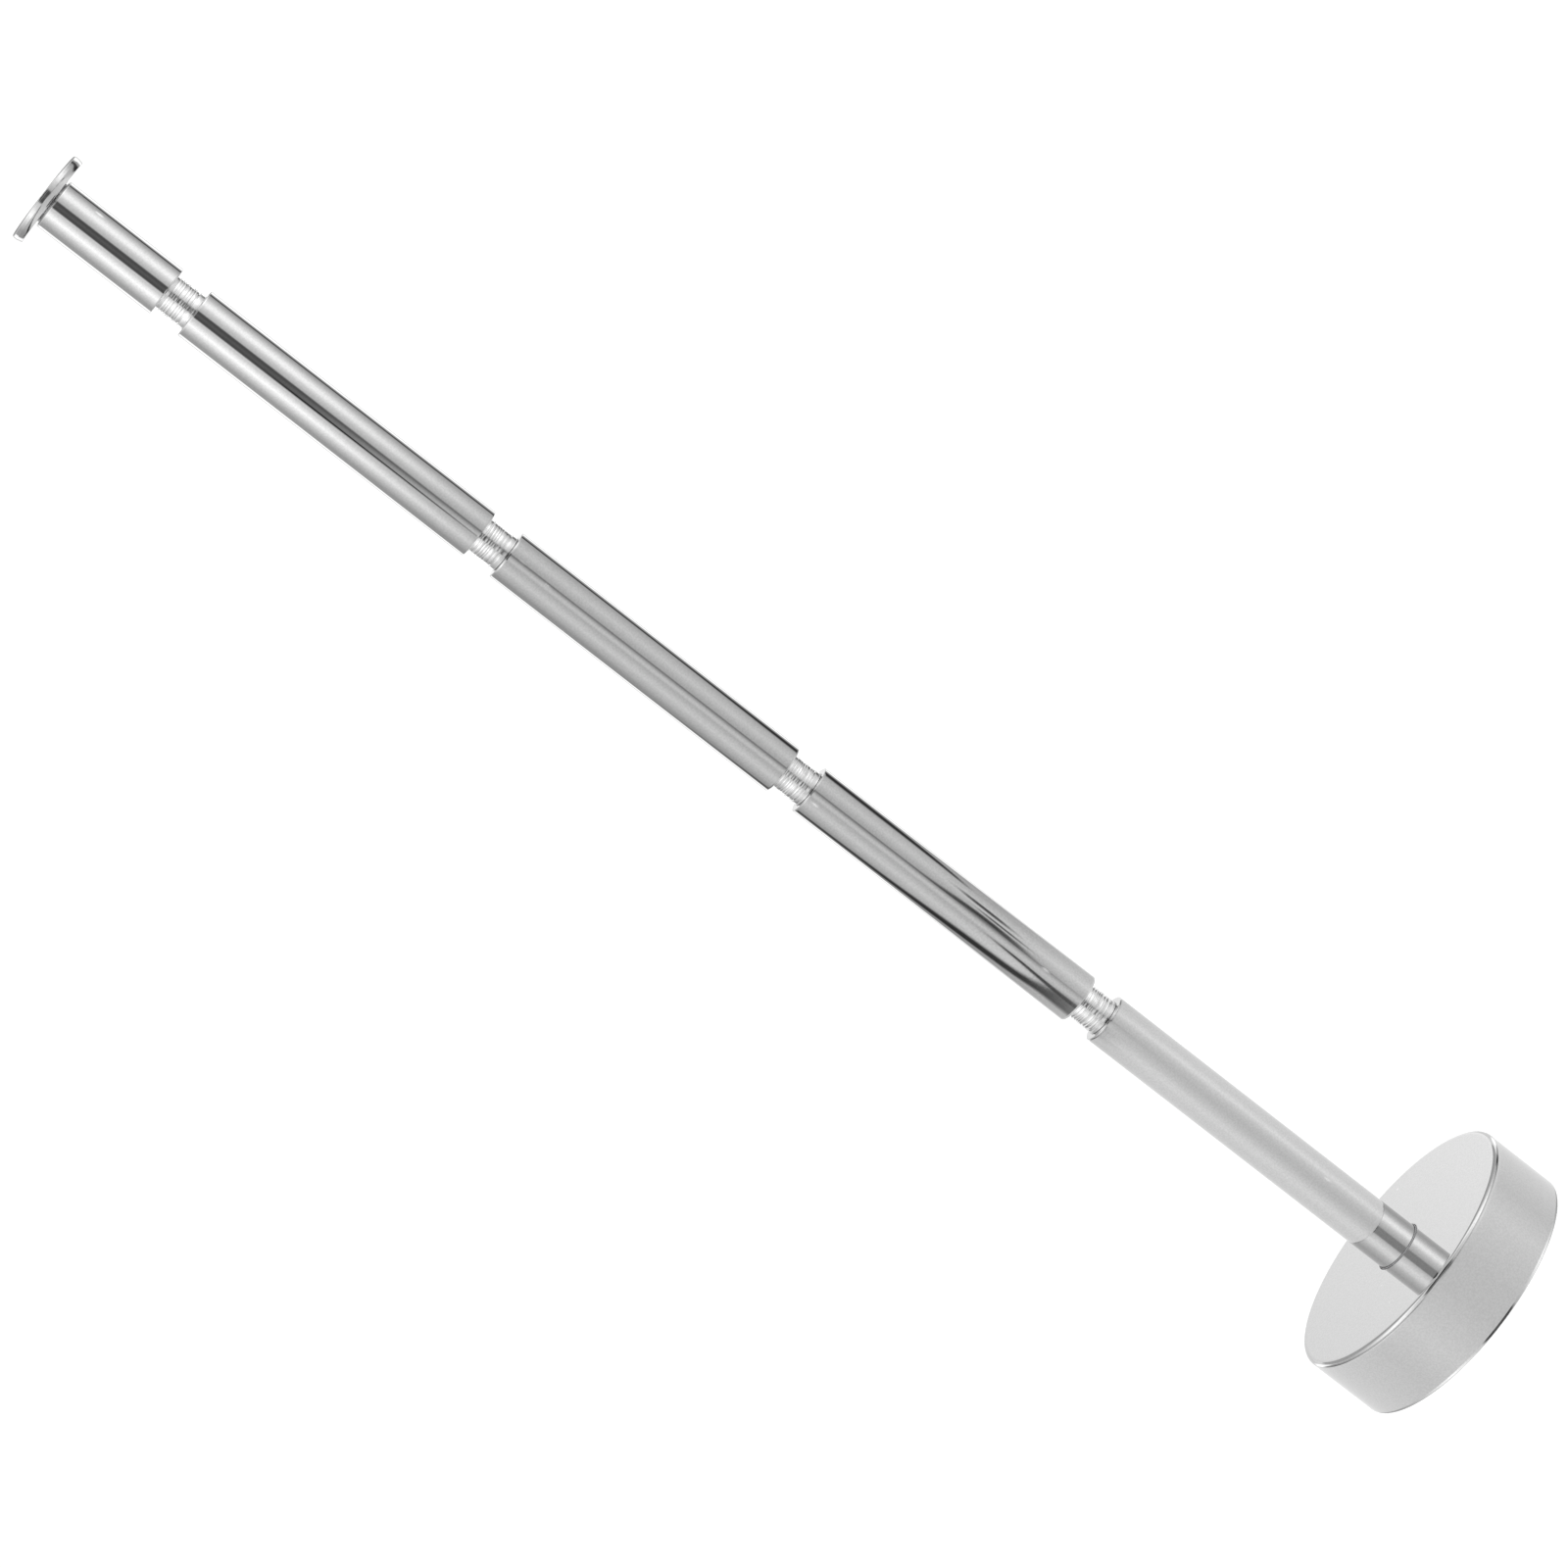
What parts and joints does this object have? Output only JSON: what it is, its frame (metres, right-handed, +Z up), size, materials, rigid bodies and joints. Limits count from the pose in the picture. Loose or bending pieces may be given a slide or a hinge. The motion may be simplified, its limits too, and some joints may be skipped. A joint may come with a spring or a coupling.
{
  "type": "wall-mounted clothes rail",
  "caption": "Straight chrome clothes rail on a round wall base with a sliding cover, narrow hanger grooves along the rail and a screw-on stop disc at its end.",
  "frame": {"origin": "centre of the wall plate's back face, which lies on the wall", "axes": "the wall is the XZ plane, the rail stands out from it along -Y, and +Z is up"},
  "size_m": [0.066, 0.4024, 0.066],
  "materials": {
    "chrome": "mirror-polished chrome plate",
    "turned_steel": "plated over unpolished turning marks",
    "zinc_steel": "zinc plate, satin",
    "spring_steel": "bare spring steel",
    "rubber": "matt black rubber",
    "nylon": "grey moulded nylon"
  },
  "bodies": {
    "wall_base": {"wall_plate": "zinc_steel", "plate_hub": "zinc_steel", "plate_stud": "zinc_steel", "cover_grip_ring": "rubber", "lock_washer": "spring_steel", "rail_section_1": "chrome", "rail_section_2": "chrome", "rail_section_3": "chrome", "rail_section_4": "chrome", "rail_section_5": "chrome", "groove_stud_1": "turned_steel", "groove_stud_2": "turned_steel", "groove_stud_3": "turned_steel", "groove_stud_4": "turned_steel"},
    "cover_bush": {"cover_bush": "nylon"},
    "cover": {"base_cover": "chrome"},
    "cap_washer": {"cap_washer": "spring_steel"},
    "end_cap": {"end_cap": "chrome"}
  },
  "joints": [
    {"name": "cover_slide", "type": "slide", "parent": "wall_base", "child": "cover_bush", "axis": [0, -1, 0], "range_m": [0, 0.379]},
    {"name": "cover_turn", "type": "hinge", "parent": "cover_bush", "child": "cover", "pos_m": [0, -0.019, 0], "axis": [0, -1, 0], "continuous": true},
    {"name": "cap_travel", "type": "slide", "parent": "wall_base", "child": "cap_washer", "axis": [0, -1, 0], "range_m": [0, 0.0081]},
    {"name": "cap_turn", "type": "hinge", "parent": "cap_washer", "child": "end_cap", "pos_m": [0, -0.3999, 0], "axis": [0, -1, 0], "range_deg": [0, 2880]}
  ],
  "couplings": [
    {"joint": "cap_travel", "follows": "cap_turn", "m_per_rad": 0.00015915}
  ]
}
